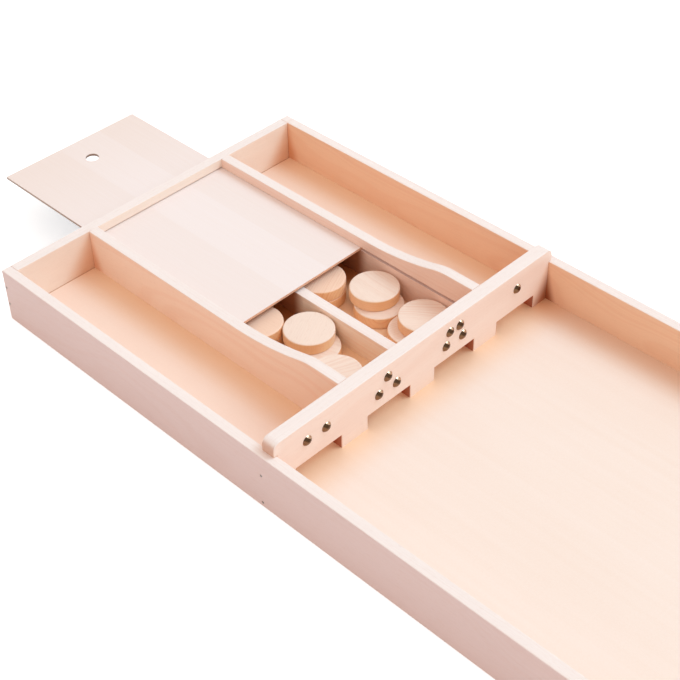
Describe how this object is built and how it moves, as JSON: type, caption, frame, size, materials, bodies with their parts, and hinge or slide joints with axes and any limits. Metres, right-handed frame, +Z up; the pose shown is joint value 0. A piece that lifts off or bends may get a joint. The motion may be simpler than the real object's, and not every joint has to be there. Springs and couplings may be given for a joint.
{
  "type": "dutch shuffleboard",
  "caption": "Long shallow wooden shuffleboard with a gated bar, scoring compartments marked by brass nails, and a sliding lid over a store of loose wooden discs.",
  "frame": {"origin": "on the table under the middle of the board, where the middle batten rests", "axes": "+Y along the board from the player's end to the scoring end, +X to the player's right, +Z up"},
  "size_m": [0.4, 2.149, 0.078],
  "materials": {
    "beech": "planed beech, thin matt lacquer",
    "floor_sheet": "smooth peach-brown sheet, satin",
    "lid_sheet": "pale sanded plywood",
    "disc_beech": "turned beech, waxed",
    "brass_nails": "antique dark brass",
    "steel_fasteners": "bare steel"
  },
  "bodies": {
    "board": {"left_rail": "beech", "right_rail": "beech", "end_wall": "beech", "front_sill": "beech", "gate_batten": "beech", "middle_batten": "beech", "front_batten": "beech", "gate_bar": "beech", "left_divider": "beech", "middle_divider": "beech", "right_divider": "beech", "floor_panel": "floor_sheet", "gate_1_nail": "brass_nails", "gate_2_nails": "brass_nails", "gate_3_nails": "brass_nails", "gate_4_nails": "brass_nails", "left_rail_brads": "steel_fasteners", "right_rail_brads": "steel_fasteners", "end_wall_brads": "steel_fasteners", "divider_screws": "steel_fasteners", "gate_bar_screws": "steel_fasteners"},
    "lid": {"storage_lid": "lid_sheet"},
    "left_stack_1_lower": {"left_stack_1_lower": "disc_beech"},
    "left_stack_1_upper": {"left_stack_1_upper": "disc_beech"},
    "left_stack_2_lower": {"left_stack_2_lower": "disc_beech"},
    "left_stack_2_upper": {"left_stack_2_upper": "disc_beech"},
    "right_stack_1_lower": {"right_stack_1_lower": "disc_beech"},
    "right_stack_1_upper": {"right_stack_1_upper": "disc_beech"},
    "right_stack_2_lower": {"right_stack_2_lower": "disc_beech"},
    "right_stack_2_upper": {"right_stack_2_upper": "disc_beech"},
    "left_row": {"left_stack_3_lower": "disc_beech", "left_stack_3_upper": "disc_beech", "left_stack_4_lower": "disc_beech", "left_stack_4_upper": "disc_beech", "left_stack_5_lower": "disc_beech", "left_stack_5_upper": "disc_beech", "left_stack_6_lower": "disc_beech", "left_stack_6_upper": "disc_beech", "left_stack_7_lower": "disc_beech", "left_stack_7_upper": "disc_beech"},
    "right_row": {"right_stack_3_lower": "disc_beech", "right_stack_3_upper": "disc_beech", "right_stack_4_lower": "disc_beech", "right_stack_4_upper": "disc_beech", "right_stack_5_lower": "disc_beech", "right_stack_5_upper": "disc_beech", "right_stack_6_lower": "disc_beech", "right_stack_6_upper": "disc_beech", "right_stack_7_lower": "disc_beech", "right_stack_7_upper": "disc_beech"},
    "left_shot": {"left_shot_disc": "disc_beech"},
    "right_shot": {"right_shot_disc": "disc_beech"}
  },
  "joints": [
    {"name": "lid_slide", "type": "slide", "parent": "board", "child": "lid", "axis": [0, 1, 0], "range_m": [-0.149, 0.2]},
    {"name": "left_stack_1_lower_lift", "type": "slide", "parent": "board", "child": "left_stack_1_lower", "axis": [0, 0, 1], "range_m": [0, 0.1]},
    {"name": "left_stack_1_upper_lift", "type": "slide", "parent": "left_stack_1_lower", "child": "left_stack_1_upper", "axis": [0, 0, 1], "range_m": [0, 0.08]},
    {"name": "left_stack_2_lower_lift", "type": "slide", "parent": "board", "child": "left_stack_2_lower", "axis": [0, 0, 1], "range_m": [0, 0.1]},
    {"name": "left_stack_2_upper_lift", "type": "slide", "parent": "left_stack_2_lower", "child": "left_stack_2_upper", "axis": [0, 0, 1], "range_m": [0, 0.08]},
    {"name": "right_stack_1_lower_lift", "type": "slide", "parent": "board", "child": "right_stack_1_lower", "axis": [0, 0, 1], "range_m": [0, 0.1]},
    {"name": "right_stack_1_upper_lift", "type": "slide", "parent": "right_stack_1_lower", "child": "right_stack_1_upper", "axis": [0, 0, 1], "range_m": [0, 0.08]},
    {"name": "right_stack_2_lower_lift", "type": "slide", "parent": "board", "child": "right_stack_2_lower", "axis": [0, 0, 1], "range_m": [0, 0.1]},
    {"name": "right_stack_2_upper_lift", "type": "slide", "parent": "right_stack_2_lower", "child": "right_stack_2_upper", "axis": [0, 0, 1], "range_m": [0, 0.08]},
    {"name": "left_row_slide", "type": "slide", "parent": "board", "child": "left_row", "axis": [0, 1, 0], "range_m": [0, 0.0075]},
    {"name": "right_row_slide", "type": "slide", "parent": "board", "child": "right_row", "axis": [0, 1, 0], "range_m": [0, 0.004]},
    {"name": "left_shot_slide", "type": "slide", "parent": "board", "child": "left_shot", "axis": [0, 1, 0], "range_m": [0, 1.893]},
    {"name": "right_shot_slide", "type": "slide", "parent": "board", "child": "right_shot", "axis": [0, 1, 0], "range_m": [0, 1.893]}
  ]
}
